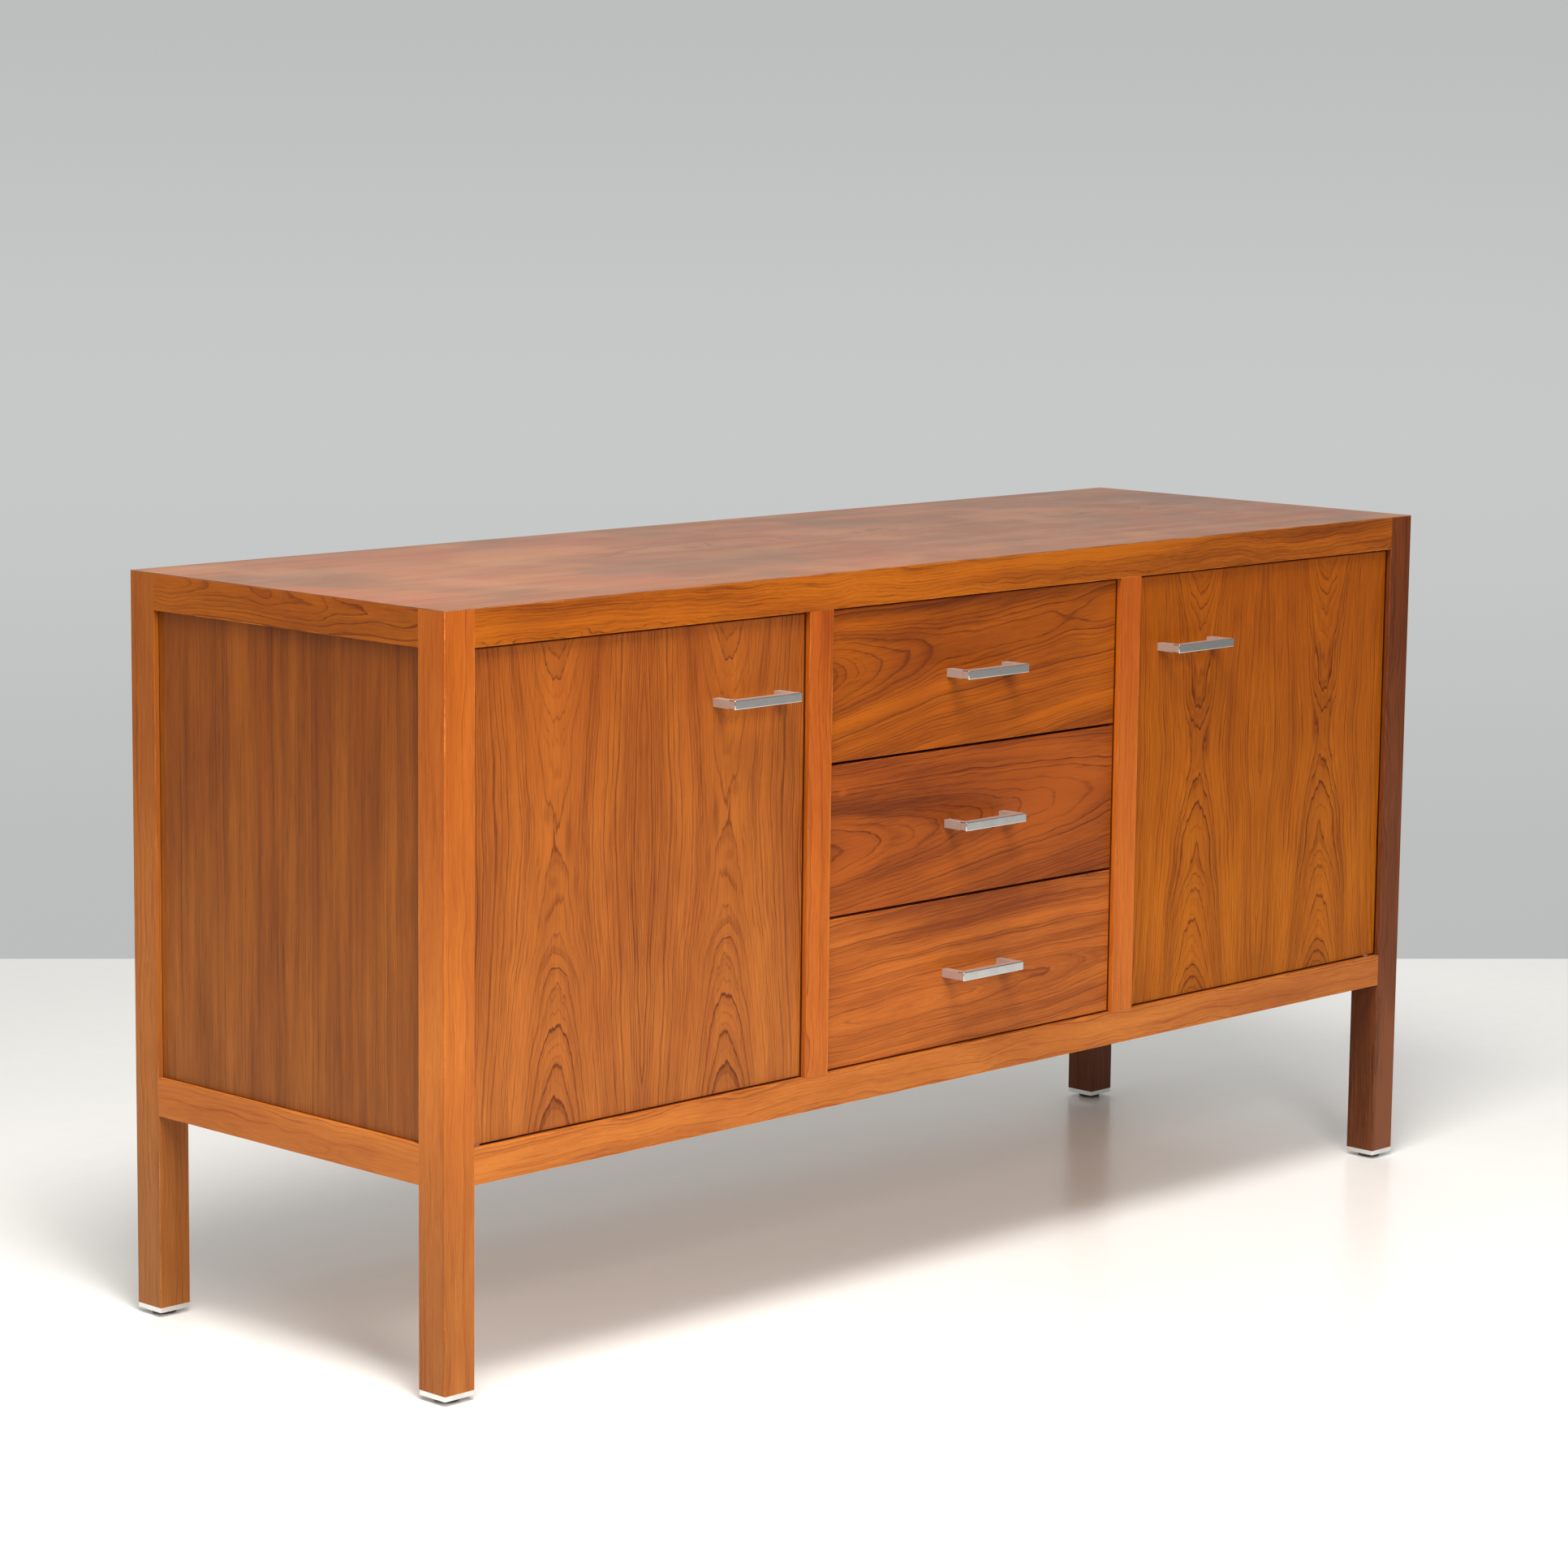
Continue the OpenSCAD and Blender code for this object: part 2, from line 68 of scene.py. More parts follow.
@dataclass
class Tone:
    """The colours of one kind of wood: its pale early wood, its dark late wood and a redder flush."""

    light: tuple
    dark: tuple
    flush: tuple
    roughness: float = 0.36
    specular: float = 0.15


POST_TONE = Tone((0.54, 0.164, 0.024), (0.25, 0.055, 0.007), (0.42, 0.100, 0.012))
BACK_POST_TONE = Tone((0.44, 0.145, 0.025), (0.19, 0.048, 0.008), (0.34, 0.088, 0.013))
MULLION_TONE = Tone((0.53, 0.142, 0.017), (0.24, 0.046, 0.005), (0.41, 0.084, 0.008))
DARK_POST_TONE = Tone((0.18, 0.050, 0.015), (0.07, 0.017, 0.005), (0.14, 0.032, 0.009))
FRONT_RIGHT_TONE = Tone((0.24, 0.066, 0.018), (0.07, 0.016, 0.004), (0.18, 0.042, 0.010))
RAIL_TONE = Tone((0.46, 0.140, 0.008), (0.15, 0.034, 0.002), (0.36, 0.080, 0.004))
LEFT_DOOR_TONE = Tone((0.43, 0.128, 0.019), (0.115, 0.023, 0.0035), (0.27, 0.054, 0.008))
RIGHT_DOOR_TONE = Tone((0.44, 0.121, 0.0045), (0.125, 0.024, 0.001), (0.29, 0.059, 0.002), 0.36, 0.10)
UPPER_TONE = Tone((0.44, 0.116, 0.004), (0.13, 0.026, 0.001), (0.30, 0.060, 0.002))
MIDDLE_TONE = Tone((0.36, 0.084, 0.008), (0.10, 0.018, 0.002), (0.23, 0.040, 0.004))
LOWER_TONE = Tone((0.48, 0.130, 0.016), (0.155, 0.031, 0.004), (0.34, 0.068, 0.008))
SIDE_TONE = Tone((0.325, 0.097, 0.013), (0.10, 0.026, 0.004), (0.22, 0.053, 0.007))
TOP_TONE = Tone((0.37, 0.160, 0.072), (0.14, 0.046, 0.020), (0.30, 0.095, 0.040), 0.30, 0.32)
INNER_TONE = Tone((0.56, 0.30, 0.13), (0.34, 0.16, 0.060), (0.52, 0.25, 0.10), 0.55, 0.3)
BOX_TONE = Tone((0.70, 0.48, 0.26), (0.46, 0.27, 0.12), (0.66, 0.42, 0.22), 0.55, 0.3)
RUNNER_TONE = Tone((0.62, 0.40, 0.20), (0.40, 0.22, 0.095), (0.58, 0.34, 0.16), 0.42, 0.4)

# ---------------------------------------------------------------- ageing of the wood, with painted shade and highlights

STAIN_GREY = (0.18, 0.085, 0.050)
STAIN_RED = (0.36, 0.095, 0.040)
STAIN_PALE = (0.42, 0.185, 0.095)

# Patches on the top: size in millimetres, place in the noise, share of the stain, noise at edge and core.
STAINS = (
    (190.0, 3.0, 1.0, (-0.02, 0.30), STAIN_GREY),
    (230.0, 7.0, 0.8, (0.00, 0.30), STAIN_RED),
    (150.0, 9.0, 0.7, (0.05, 0.35), STAIN_PALE),
)

# Painted shade by height on the outside, as factors of the colour, with the heights between which it
# changes.
HEIGHT_SHADE_LOW = (0.82, 0.93, 1.15)
HEIGHT_SHADE_MIDDLE = (1.02, 1.03, 1.08)
HEIGHT_SHADE_HIGH = (0.82, 0.70, 0.44)
HEIGHT_SHADE_LOWER_CHANGE = (0.10, 0.32)
HEIGHT_SHADE_UPPER_CHANGE = (0.25, 0.80)

# Grime in the joints and painted shade in the door gaps: how much it covers, and its share of the wood's
# dark colour.
GRIME_AND_GAP_SHADE_COVER = 0.85
GRIME_AND_GAP_SHADE_SHARE = 0.2
SEAM_WIDTH = (0.2, 0.9)
SEAM_COVER = 0.75
SEAM_SHADE = 0.3
BORDER_WIDTH = (0.2, 1.4)

# In the gaps beside the doors and drawers, posts and mullions get a line of dark polish and painted shade.
# The line on posts and mullions, measured in millimetres from the face of the doors, which lies RECESS
# metres behind the posts' face. It stays inside the bays: metres from the middle, and metres of height.
RECESS = 0.006
DOOR_FRAME = ("post_front_left", "post_front_right", "mullion_left", "mullion_right")
BAY_LINE_START = (-0.6, 0.2)
BAY_LINE_END = (3.0, 4.5)
BAY_EDGE = (0.745, 0.750)
BAY_FLOOR = (0.220, 0.240)

# The pale rubbed edges are partly a painted highlight on the arrises.
# Rubbed edges: width in millimetres, how ragged they are, and the sizes of the noise that breaks them up.
WEAR_AND_HIGHLIGHT_WIDTH = (0.1, 0.7)
WEAR_AND_HIGHLIGHT_COVER = 0.6
RUB_SCALE = 0.02
RUB_SHARE = 0.8
GRIT_SCALE = 0.35

# ---------------------------------------------------------------- how the grain of one piece runs


@dataclass
class Figure:
    """How a piece's grain runs. Lengths are in millimetres, from the middle of the piece.

    The rings are tubes round a pith that lies `deep` below the piece's middle and `aside` of it, and that
    turns away from the grain axis by `lean` (mm per mm). `slope` (mm per m), `roof` (mm per m to both
    sides) and `bow` (mm per m squared) take the pith closer or farther along the grain, which draws
    arches where the face cuts the rings. `start` moves the arches along the grain.

    `ring` is the width of one ring, and `wander` says how crooked the pith is. `rings`, `hairs`, `bands`,
    `fibres`, `clouds`, `flush` and `stains` are strengths. `leaves` is how far the piths of a matched
    pair of veneers lie from their seam. `border` is how much of a panel's edge its frame covers.
    `worn_and_highlit_ends` rubs the end edges too and paints their highlight, and `seams` draws a dark line
    at both ends.
    """

    grain: str = ""
    across: str = ""
    aside: float = 0.0
    deep: float = 60.0
    lean: float = 0.0
    start: float = 0.0
    slope: float = 0.0
    roof: float = 0.0
    bow: float = 0.0
    ring: float = 3.2
    wander: float = 2.5
    rings: float = 0.55
    hairs: float = 0.30
    bands: float = 0.55
    fibres: float = 0.50
    clouds: float = 0.5
    flush: float = 0.5
    leaves: float = 0.0
    stains: float = 0.0
    border: float = 0.0
    spots: tuple = ()
    worn_and_highlit_ends: bool = False
    seams: bool = False


# ---------------------------------------------------------------- arithmetic on node sockets


class Signal:
    """The output of a shader node, with which + - * / and the methods below build further nodes."""

    def __init__(self, graph, socket):
        self.graph = graph
        self.socket = socket

    def __add__(self, other):
        return self.graph.math("ADD", self, other)

    __radd__ = __add__

    def __sub__(self, other):
        return self.graph.math("SUBTRACT", self, other)

    def __rsub__(self, other):
        return self.graph.math("SUBTRACT", other, self)

    def __mul__(self, other):
        return self.graph.math("MULTIPLY", self, other)

    __rmul__ = __mul__

    def __truediv__(self, other):
        return self.graph.math("DIVIDE", self, other)

    def __abs__(self):
        return self.graph.math("ABSOLUTE", self)

    def root(self):
        return self.graph.math("SQRT", self)

    def fraction(self):
        return self.graph.math("FRACT", self)

    def whole(self):
        return self.graph.math("FLOOR", self)

    def clamped(self):
        return self.graph.map(self, 0.0, 1.0, 0.0, 1.0)

    def least(self, other):
        return self.graph.math("MINIMUM", self, other)

    def most(self, other):
        return self.graph.math("MAXIMUM", self, other)

    def step(self, low, high):
        """0 below low and 1 above high, with a smooth change between them."""
        return self.graph.map(self, low, high, 0.0, 1.0, "SMOOTHSTEP")

    def fade(self, low, high):
        """1 below low and 0 above high."""
        return 1.0 - self.step(low, high)


class Graph:
    """Adds nodes to one node tree."""

    def __init__(self, tree):
        self.tree = tree
        self.column = 0

    def node(self, kind, **settings):
        made = self.tree.nodes.new(kind)
        made.location = (self.column * 40, 0)
        self.column += 1
        for name, value in settings.items():
            setattr(made, name, value)
        return made

    def feed(self, socket, value):
        if isinstance(value, Signal):
            self.tree.links.new(value.socket, socket)
        else:
            socket.default_value = value

    def math(self, operation, *values):
        made = self.node("ShaderNodeMath", operation=operation)
        for socket, value in zip(made.inputs, values):
            self.feed(socket, value)
        return Signal(self, made.outputs[0])

    def map(self, value, low, high, to_low, to_high, how="LINEAR"):
        made = self.node("ShaderNodeMapRange", interpolation_type=how, clamp=True)
        for index, given in enumerate((value, low, high, to_low, to_high)):
            self.feed(made.inputs[index], given)
        return Signal(self, made.outputs[0])

    def vector(self, x, y, z):
        made = self.node("ShaderNodeCombineXYZ")
        for socket, value in zip(made.inputs, (x, y, z)):
            self.feed(socket, value)
        return Signal(self, made.outputs[0])

    def parts(self, vector):
        made = self.node("ShaderNodeSeparateXYZ")
        self.feed(made.inputs[0], vector)
        return [Signal(self, output) for output in made.outputs]

    def noise(self, vector, scale=1.0, detail=2.0, roughness=0.5, distortion=0.0):
        """Soft noise round 0, mostly between -0.5 and 0.5."""
        made = self.node("ShaderNodeTexNoise")
        self.feed(made.inputs["Vector"], vector)
        made.inputs["Scale"].default_value = scale
        made.inputs["Detail"].default_value = detail
        made.inputs["Roughness"].default_value = roughness
        made.inputs["Distortion"].default_value = distortion
        return Signal(self, made.outputs["Fac"]) * 2.0 - 1.0

    def chance(self, value):
        """A random number from 0 to 1 that stays the same for each value."""
        made = self.node("ShaderNodeTexWhiteNoise", noise_dimensions="1D")
        self.feed(made.inputs["W"], value)
        return Signal(self, made.outputs["Value"])

    def mix(self, share, first, second, blend="MIX"):
        made = self.node("ShaderNodeMix", data_type="RGBA", blend_type=blend)
        self.feed(made.inputs["Factor"], share)
        self.feed(made.inputs["A"], first)
        self.feed(made.inputs["B"], second)
        return Signal(self, made.outputs["Result"])


def rgba(colour):
    return (*colour, 1.0)


# ---------------------------------------------------------------- the wood figure, one group for all woods


@dataclass
class Streaks:
    """Noise drawn out along the grain: length and width in millimetres, and its place in the noise."""

    length: float
    width: float
    shift: float
    detail: float = 2.0


BROAD_DRIFT = Streaks(150.0, 70.0, 1.7, 1.0)
FINE_DRIFT = Streaks(48.0, 17.0, 4.3, 1.0)
WAVES = Streaks(48.0, 8.0, 3.1)
CLOUDS = Streaks(200.0, 45.0, 5.3)
FIBRES = Streaks(34.0, 1.1, 7.9, 3.0)
PORES = Streaks(11.0, 0.7, 9.1)

# How crooked the pith and the rings are, as shares of the piece's own `wander`.
BROAD_SHARE = 2.6
FINE_SHARE = 0.8
SWAY_SHARE = 2.0
SWAY_LENGTH = 90.0
WAVE_SHARE = 0.45
ROOF_ROUNDING = 0.0009

# Each ring runs from 0 to 1: where its dark line rises and where it falls.
LINE_RISE = (0.80, 0.91)
LINE_FALL = (0.95, 1.0)
SOFT_LATE = 0.6
SHARP_LATE = 0.75
FAINT_LINE = 0.2
RING_OFFSET = 100.0
RING_SEED_STEP = 17.0

# What follows the rings: its size across them, in rings, and along the grain, in millimetres.
SPREAD_RINGS = 5.0
SPREAD_SHARE = 2.5
BAND_RINGS = 4.0
BAND_LENGTH = 450.0
HAIR_RINGS = 0.62
HAIR_LENGTH = 260.0
HAIR_WIDTH = (0.0, 0.16)
BREAK_RINGS = 2.4
BREAK_LENGTH = 120.0

# How much each part of the figure darkens the wood.
PLAIN_SHADE = 0.40
LATE_SHADE = 1.3
LATE_MEAN = 0.15
HAIR_MEAN = 0.2
CLOUD_SHADE = 0.6
FIBRE_SHADE = 0.9
PORE_SHADE = 0.6
PORE_EDGE = (0.16, 0.42)
FLUSH_KEEP = 0.7

# How each part stands in the surface.
PORE_DEPTH = 0.5
FIBRE_HEIGHT = 0.25
LATE_DEPTH = 0.1

FIGURE_VALUES = ("deep", "slope", "roof", "bow", "ring", "wander", "rings", "hairs", "bands", "fibres",
                 "clouds")
GROUP_VALUES = ("along", "across", "below", "seed", *FIGURE_VALUES, "flush_share", "marks")
GROUP_COLOURS = ("light", "dark", "flush")


def figure_group():
    """A node group that turns a place in the wood, in millimetres, into its colour, tone and relief."""
    tree = bpy.data.node_groups.new("wood_figure", "ShaderNodeTree")
    for name in GROUP_VALUES:
        tree.interface.new_socket(name=name, in_out="INPUT", socket_type="NodeSocketFloat")
    for name in GROUP_COLOURS:
        tree.interface.new_socket(name=name, in_out="INPUT", socket_type="NodeSocketColor")
    tree.interface.new_socket(name="colour", in_out="OUTPUT", socket_type="NodeSocketColor")
    tree.interface.new_socket(name="tone", in_out="OUTPUT", socket_type="NodeSocketFloat")
    tree.interface.new_socket(name="relief", in_out="OUTPUT", socket_type="NodeSocketFloat")
    graph = Graph(tree)
    given_node = graph.node("NodeGroupInput")
    given = {name: Signal(graph, given_node.outputs[name]) for name in GROUP_VALUES + GROUP_COLOURS}
    tone, relief, clouds = wood_tone(graph, given)
    colour = graph.mix(tone, given["light"], given["dark"])
    flushed = graph.mix(tone * FLUSH_KEEP, given["flush"], given["dark"])
    colour = graph.mix((clouds + 0.5).clamped() * given["flush_share"], colour, flushed)
    out = graph.node("NodeGroupOutput")
    graph.feed(out.inputs["colour"], colour)
    graph.feed(out.inputs["tone"], tone)
    graph.feed(out.inputs["relief"], relief)
    return tree


def streaks(graph, place, seed, pattern):
    along, across, below = place
    along = along / pattern.length + seed * pattern.shift
    across = across / pattern.width + seed
    below = below / pattern.width + pattern.shift
    return graph.noise(graph.vector(along, across, below), 1.0, pattern.detail)


def pith_distance(graph, given, place, seed):
    """The distance from a pith that wanders, and the same place shifted by that wander."""
    along, across, below = place
    broad = streaks(graph, place, seed, BROAD_DRIFT) * BROAD_SHARE
    fine = streaks(graph, place, seed, FINE_DRIFT) * FINE_SHARE
    across = across + (broad + fine) * given["wander"]
    place = (along, across, below)
    waves = streaks(graph, place, seed, WAVES)
    metres = along / 1000.0
    sway = graph.noise(graph.vector(along / SWAY_LENGTH + seed, seed, 0.0), 1.0, 1.0)
    both = (metres * metres + ROOF_ROUNDING).root()
    deep = given["deep"] + given["slope"] * metres + given["roof"] * both + given["bow"] * metres * metres
    deep = deep + sway * given["wander"] * SWAY_SHARE
    under = below + deep
    radius = (across * across + under * under).root()
    return radius + waves * given["wander"] * WAVE_SHARE, place


def late_wood(graph, given, radius, seed):
    """The dark part of each ring. Each ring draws its own strength, and some stay faint."""
    spread = graph.noise(graph.vector(radius / (given["ring"] * SPREAD_RINGS), seed, 1.0), 1.0, 1.0)
    count = radius / given["ring"] + spread * SPREAD_SHARE + RING_OFFSET
    phase = count.fraction()
    draw = graph.chance(count.whole() + seed * RING_SEED_STEP)
    line = phase.step(*LINE_RISE) * phase.fade(*LINE_FALL) * (draw * (1.0 - FAINT_LINE) + FAINT_LINE)
    return phase * phase * phase.fade(*LINE_FALL) * draw * draw * SOFT_LATE + line * SHARP_LATE


def ring_hairs(graph, given, radius, along, seed):
    """Broken hair lines that follow the rings."""
    ring = given["ring"]
    breaks = graph.noise(graph.vector(radius / (ring * BREAK_RINGS), along / BREAK_LENGTH, seed + 3.0))
    hair = graph.noise(graph.vector(radius / (ring * HAIR_RINGS), along / HAIR_LENGTH, seed), 1.0, 0.0)
    return abs(hair).fade(*HAIR_WIDTH) * (breaks * 1.6 + 0.5).clamped()


def wood_tone(graph, given):
    """How dark the wood is, how its surface stands, and the slow clouds of its colour."""
    along, across, below, seed = (given[name] for name in ("along", "across", "below", "seed"))
    radius, place = pith_distance(graph, given, (along, across, below), seed)
    late = late_wood(graph, given, radius, seed)
    hair = ring_hairs(graph, given, radius, along, seed)
    band = given["ring"] * BAND_RINGS
    bands = graph.noise(graph.vector(radius / band, along / BAND_LENGTH, seed * 2.0))
    clouds = streaks(graph, place, seed, CLOUDS)
    fibres = streaks(graph, place, seed, FIBRES)
    pores = streaks(graph, place, seed, PORES).step(*PORE_EDGE) * (late * 0.5 + 0.5)
    tone = PLAIN_SHADE + (late - LATE_MEAN) * given["rings"] * LATE_SHADE
    tone = tone + (hair - HAIR_MEAN) * given["hairs"]
    tone = tone + bands * given["bands"] + clouds * given["clouds"] * CLOUD_SHADE
    tone = tone + (fibres * FIBRE_SHADE + pores * PORE_SHADE) * given["fibres"] + given["marks"]
    relief = 0.5 - pores * PORE_DEPTH + fibres * FIBRE_HEIGHT - late * LATE_DEPTH
    return tone.clamped(), relief, clouds


# ---------------------------------------------------------------- materials in general


def new_material(name):
    """An empty material, and the graph that fills it."""
    material = bpy.data.materials.new(name)
    material.use_nodes = True
    material.node_tree.nodes.clear()
    return material, Graph(material.node_tree)


def new_shader(graph, colour, roughness):
    shader = graph.node("ShaderNodeBsdfPrincipled")
    graph.feed(shader.inputs["Base Color"], colour)
    graph.feed(shader.inputs["Roughness"], roughness)
    out = graph.node("ShaderNodeOutputMaterial")
    graph.feed(out.inputs["Surface"], Signal(graph, shader.outputs["BSDF"]))
    return shader


def add_bump(graph, shader, height, strength, distance):
    bump = graph.node("ShaderNodeBump")
    bump.inputs["Strength"].default_value = strength
    bump.inputs["Distance"].default_value = distance
    graph.feed(bump.inputs["Height"], height)
    graph.feed(shader.inputs["Normal"], Signal(graph, bump.outputs["Normal"]))


# ---------------------------------------------------------------- wood on one piece

SPOT_SOFTNESS = (0.2, 1.0)
END_GRAIN_ANGLE = (0.6, 0.9)
END_GRAIN_COVER = 0.45
SMEAR_LENGTH = 90.0
SMEAR_WIDTH = 60.0
SEED_STEP = 3.7
WEAR_SEED_STEP = 31.0
RUBBED_AND_HIGHLIT_PALENESS = 1.2

# What makes the varnish duller.
SHADE_ROUGHNESS = 0.05
SMEAR_ROUGHNESS = 0.07
WEAR_ROUGHNESS = 0.18
END_GRAIN_ROUGHNESS = 0.1

# Bump: its strength, and its distance in metres.
WOOD_BUMP = (0.35, 0.0002)
WEAR_DEPTH = 0.6


def axes_of(half, figure):
    """The indices of the grain axis, the axis across it and the one left over."""
    order = sorted(range(3), key=lambda index: -half[index])
    grain = "xyz".index(figure.grain) if figure.grain else order[0]
    rest = [index for index in order if index != grain]
    across = "xyz".index(figure.across) if figure.across else rest[0]
    below = 3 - grain - across
    return grain, across, below


def spot_marks(spots, along, across):
    """Dark or pale flecks, and painted light and shade: each is (along, across, half length, half width,
    strength) in millimetres.
    """
    total = 0.0
    for place, aside, length, width, strength in spots:
        run = (along - place) / length
        side = (across - aside) / width
        near = (run * run + side * side).root()
        total = total + near.fade(*SPOT_SOFTNESS) * strength
    return total


def edge_distance(gaps, ends):
    """Distance to the nearest long edge of a box, and to its end edges if they are worn and highlit too."""
    along, across, below = gaps
    nearest = across.most(below)
    if ends:
        nearest = nearest.least(along.most(below)).least(along.most(across))
    return nearest


def box_place(name, place, order):
    """A point's place from the middle of its piece and its gaps to the sides, in millimetres."""
    low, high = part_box(name)
    centre = (low + high) / 2
    half = (high - low) / 2
    local = [(place[index] - centre[index]) * 1000.0 for index in order]
    gaps = [half[index] * 1000.0 - abs(value) for index, value in zip(order, local)]
    return local, gaps


def cut_wood(graph, group_tree, tone, figure, local, seed):
    """Runs the figure group for one piece: its colour, tone and relief."""
    along, across, below = local
    if figure.leaves:
        across = abs(across) - figure.leaves
    along = along - figure.start
    across = across - figure.aside - along * figure.lean
    group = graph.node("ShaderNodeGroup", node_tree=group_tree)
    values = {"along": along, "across": across, "below": below, "seed": seed * SEED_STEP,
              "flush_share": figure.flush, "marks": spot_marks(figure.spots, along, across),
              "light": rgba(tone.light), "dark": rgba(tone.dark), "flush": rgba(tone.flush)}
    values.update({key: getattr(figure, key) for key in FIGURE_VALUES})
    for key, value in values.items():
        graph.feed(group.inputs[key], value)
    return [Signal(graph, group.outputs[key]) for key in ("colour", "tone", "relief")]


def aged_and_shaded(graph, name, colour, tone, figure, place, local, gaps):
    """Stains on the top, painted shade by height on the outside, the grime in the joints, and painted shade
    in the door gaps.
    """
    if figure.stains:
        colour = stained(graph, colour, local, figure.stains)
    # Painted shade by height on the outside pieces.
    if name in WOODS:
        colour = graph.mix(1.0, colour, height_shade(graph, place[2]), "MULTIPLY")
    if figure.border:
        inward = gaps[0].least(gaps[1]) - figure.border
        colour = grime_and_gap_shade(graph, colour, tone, inward.fade(*BORDER_WIDTH))
    # Dark polish and painted shade in the gaps beside the doors and drawers.
    if name in DOOR_FRAME:
        front = float(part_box(name)[0][1])
        colour = grime_and_gap_shade(graph, colour, tone, bay_gap_shade(place, front))
    return colour


def wood_material(group_tree, name, tone, figure, seed):
    low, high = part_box(name)
    order = axes_of((high - low) / 2, figure)
    material, graph = new_material(name)
    coordinates = graph.node("ShaderNodeTexCoord")
    place = graph.parts(Signal(graph, coordinates.outputs["Object"]))
    facing = graph.parts(Signal(graph, coordinates.outputs["Normal"]))
    local, gaps = box_place(name, place, order)
    colour, shade, relief = cut_wood(graph, group_tree, tone, figure, local, seed)
    colour = aged_and_shaded(graph, name, colour, tone, figure, place, local, gaps)
    colour, wear_and_highlight = worn(graph, colour, tone, figure, local, gaps, seed)
    end_grain = abs(facing[order[0]]).step(*END_GRAIN_ANGLE)
    colour = graph.mix(end_grain * END_GRAIN_COVER, colour, rgba(tone.dark))
    smears = graph.noise(graph.vector(local[0] / SMEAR_LENGTH, local[1] / SMEAR_WIDTH, seed), 1.0, 3.0)
    roughness = tone.roughness + shade * SHADE_ROUGHNESS + smears * SMEAR_ROUGHNESS
    roughness = roughness + wear_and_highlight * WEAR_ROUGHNESS + end_grain * END_GRAIN_ROUGHNESS
    shader = new_shader(graph, colour, roughness)
    shader.inputs["Specular IOR Level"].default_value = tone.specular
    add_bump(graph, shader, relief - wear_and_highlight * WEAR_DEPTH, *WOOD_BUMP)
    return material


def stained(graph, colour, local, strength):
    """Blurred red, grey and pale patches, left by sun, cups and polish."""
    for size, shift, share, edge, stain in STAINS:
        patches = graph.noise(graph.vector(local[0] / size, local[1] / size, shift), 1.0, 2.5)
        colour = graph.mix(patches.step(*edge) * strength * share, colour, rgba(stain))
    return colour


def height_shade(graph, height):
    """Painted shade by height: deeper and redder near the top, paler towards the floor."""
    colour = graph.mix(height.step(*HEIGHT_SHADE_LOWER_CHANGE), rgba(HEIGHT_SHADE_LOW), rgba(HEIGHT_SHADE_MIDDLE))
    return graph.mix(height.step(*HEIGHT_SHADE_UPPER_CHANGE), colour, rgba(HEIGHT_SHADE_HIGH))


def bay_gap_shade(place, front):
    """1 where a post or mullion meets the face of a door or drawer, and 0 elsewhere."""
    x, y, z = place
    depth = (y - front - RECESS) * 1000.0
    beside_bay = abs(x).fade(*BAY_EDGE) * z.step(*BAY_FLOOR)
    return depth.step(*BAY_LINE_START) * depth.fade(*BAY_LINE_END) * beside_bay


def shaded(colour, share):
    return rgba(tuple(value * share for value in colour))


def grime_and_gap_shade(graph, colour, tone, line):
    """A dark line of polish and dust in a narrow joint, where `line` is 1; in the door gaps it is also
    painted shade.
    """
    return graph.mix(line * GRIME_AND_GAP_SHADE_COVER, colour, shaded(tone.dark, GRIME_AND_GAP_SHADE_SHARE))


def paler(colour, share):
    return rgba(tuple(min(1.0, value * share + 0.02) for value in colour))


def worn(graph, colour, tone, figure, local, gaps, seed):
    """Pale rubbed edges with a few dings, partly a painted highlight, and the dark line where the piece
    meets its neighbours.
    """
    edge = edge_distance(gaps, figure.worn_and_highlit_ends)
    place = graph.vector(local[0], local[1] + seed * WEAR_SEED_STEP, local[2])
    rub = graph.noise(place, RUB_SCALE, 2.0)
    grit = graph.noise(place, GRIT_SCALE, 3.0)
    wear_and_highlight = (edge - rub * RUB_SHARE - grit).fade(*WEAR_AND_HIGHLIGHT_WIDTH) * (rub * 1.5 + 0.25).clamped()
    # Pale rubbed edges, partly a painted highlight on the arrises.
    colour = graph.mix(wear_and_highlight * WEAR_AND_HIGHLIGHT_COVER, colour, paler(tone.light, RUBBED_AND_HIGHLIT_PALENESS))
    if figure.seams:
        line = gaps[0].fade(*SEAM_WIDTH)
        colour = graph.mix(line * SEAM_COVER, colour, shaded(tone.dark, SEAM_SHADE))
    return colour, wear_and_highlight


# ---------------------------------------------------------------- metals and small parts

# Plated metal: the noise of its rubbed lines, smudges and pits, and what each does.
BRUSHED_STRETCH = 0.03
BRUSHED_SCALE = 2600.0
BRUSHED_ROUGHNESS = 0.06
BRUSHED_HEIGHT = 0.6
SMUDGE_SCALE = 55.0
SMUDGE_SHADE = 0.62
SMUDGE_ROUGHNESS = 0.12
PIT_SCALE = 900.0
PIT_EDGE = (0.42, 0.6)
PIT_SHADE = 0.35
PIT_ROUGHNESS = 0.2
METAL_BUMP = (0.25, 0.00005)

# Moulded plastic: its fine grain and its scuffs.
GRAIN_SCALE = 1400.0
GRAIN_ROUGHNESS = 0.05
SCUFF_SCALE = 160.0
SCUFF_COVER = 1.4
SCUFF_PALENESS = 1.5
SCUFF_ROUGHNESS = 0.15
PLASTIC_BUMP = (0.3, 0.0001)

# The pulls, in metres: the rounding of the rod's edges, and the seam between the rod and its legs.
PULL_EASE = 0.0009
PULL_SEAM = 0.0003
EDGE_SEGMENTS = 3
FLAT_FACE = 0.999
FRONT_FACE = -0.5
POLISHED = 0
SATIN = 1


